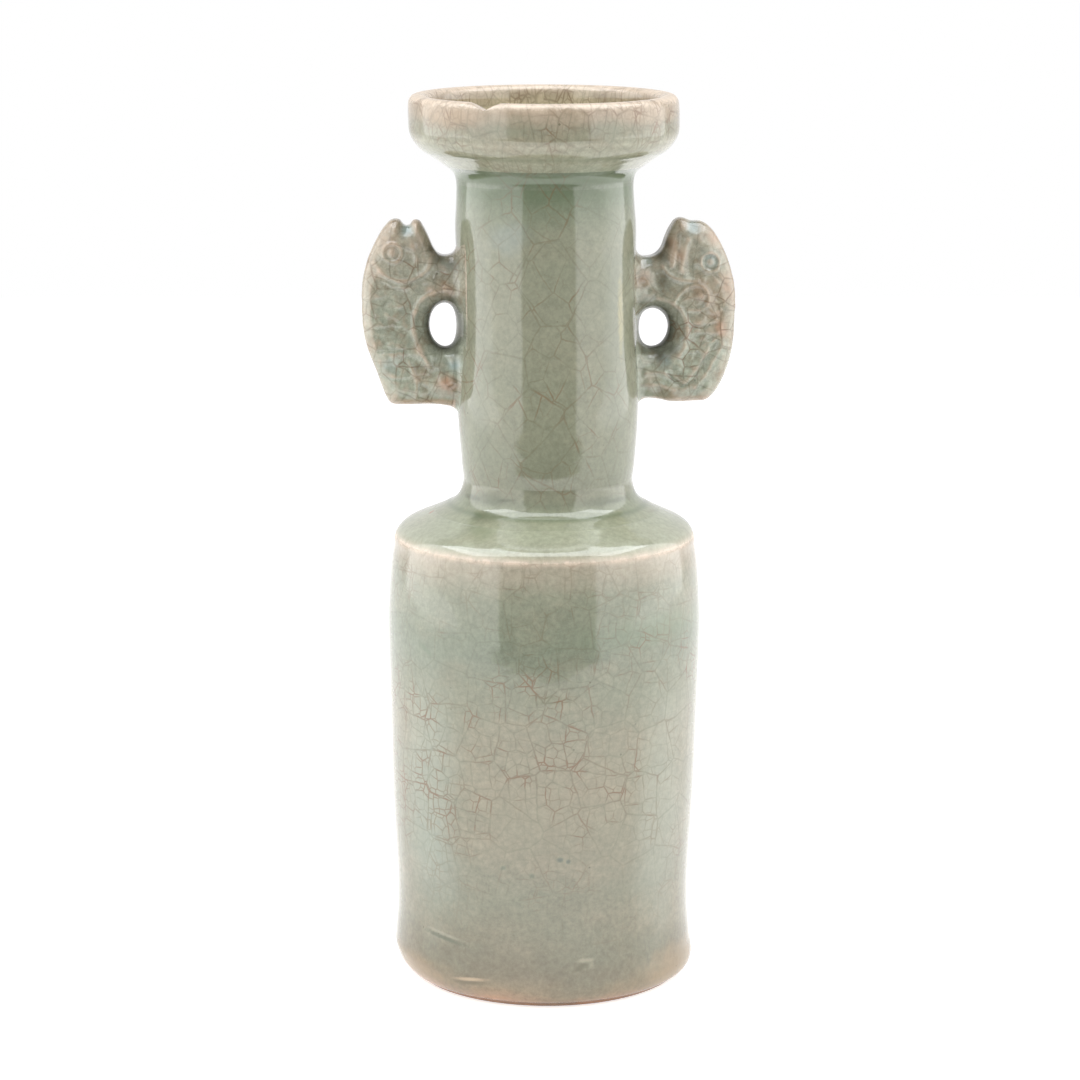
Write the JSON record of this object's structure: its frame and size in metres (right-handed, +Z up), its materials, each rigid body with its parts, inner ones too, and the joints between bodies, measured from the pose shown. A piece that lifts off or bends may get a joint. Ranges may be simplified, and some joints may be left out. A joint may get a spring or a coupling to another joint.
{
  "type": "mallet vase",
  "caption": "Mallet-shaped stoneware vase with a dish mouth and two fish handles, in crackled grey-green glaze.",
  "frame": {"origin": "centre of the foot ring, on the plane the vase stands on", "axes": "+Z up along the vase's axis; the fish handles lie along X; -Y is the front seen in the picture"},
  "size_m": [0.104, 0.0876, 0.25],
  "materials": {
    "body_glaze": "glossy opaque grey-green glaze with brown crackle, over stoneware",
    "shoulder_glaze": "glossy opaque pale green glaze, pooled thick, over stoneware",
    "neck_glaze": "glossy opaque grey-green glaze with long crackle, over stoneware",
    "dish_glaze": "glossy opaque buff-green glaze, thin and creamy at the lip, over stoneware",
    "fish_glaze": "glossy opaque grey-green glaze, brown where it is thin on raised edges, over stoneware",
    "bare_clay": "unglazed stoneware, matt, burnt orange-brown"
  },
  "bodies": {
    "root": {"body": "body_glaze", "shoulder": "shoulder_glaze", "neck": "neck_glaze", "mouth_dish": "dish_glaze", "neck_root_coil": "shoulder_glaze", "mouth_coil": "neck_glaze", "shoulder_seam_coil": "bare_clay", "left_fish_front": "fish_glaze", "left_fish_back": "fish_glaze", "right_fish_front": "fish_glaze", "right_fish_back": "fish_glaze", "left_upper_wad": "fish_glaze", "left_lower_wad": "fish_glaze", "right_upper_wad": "fish_glaze", "right_lower_wad": "fish_glaze"}
  },
  "joints": []
}
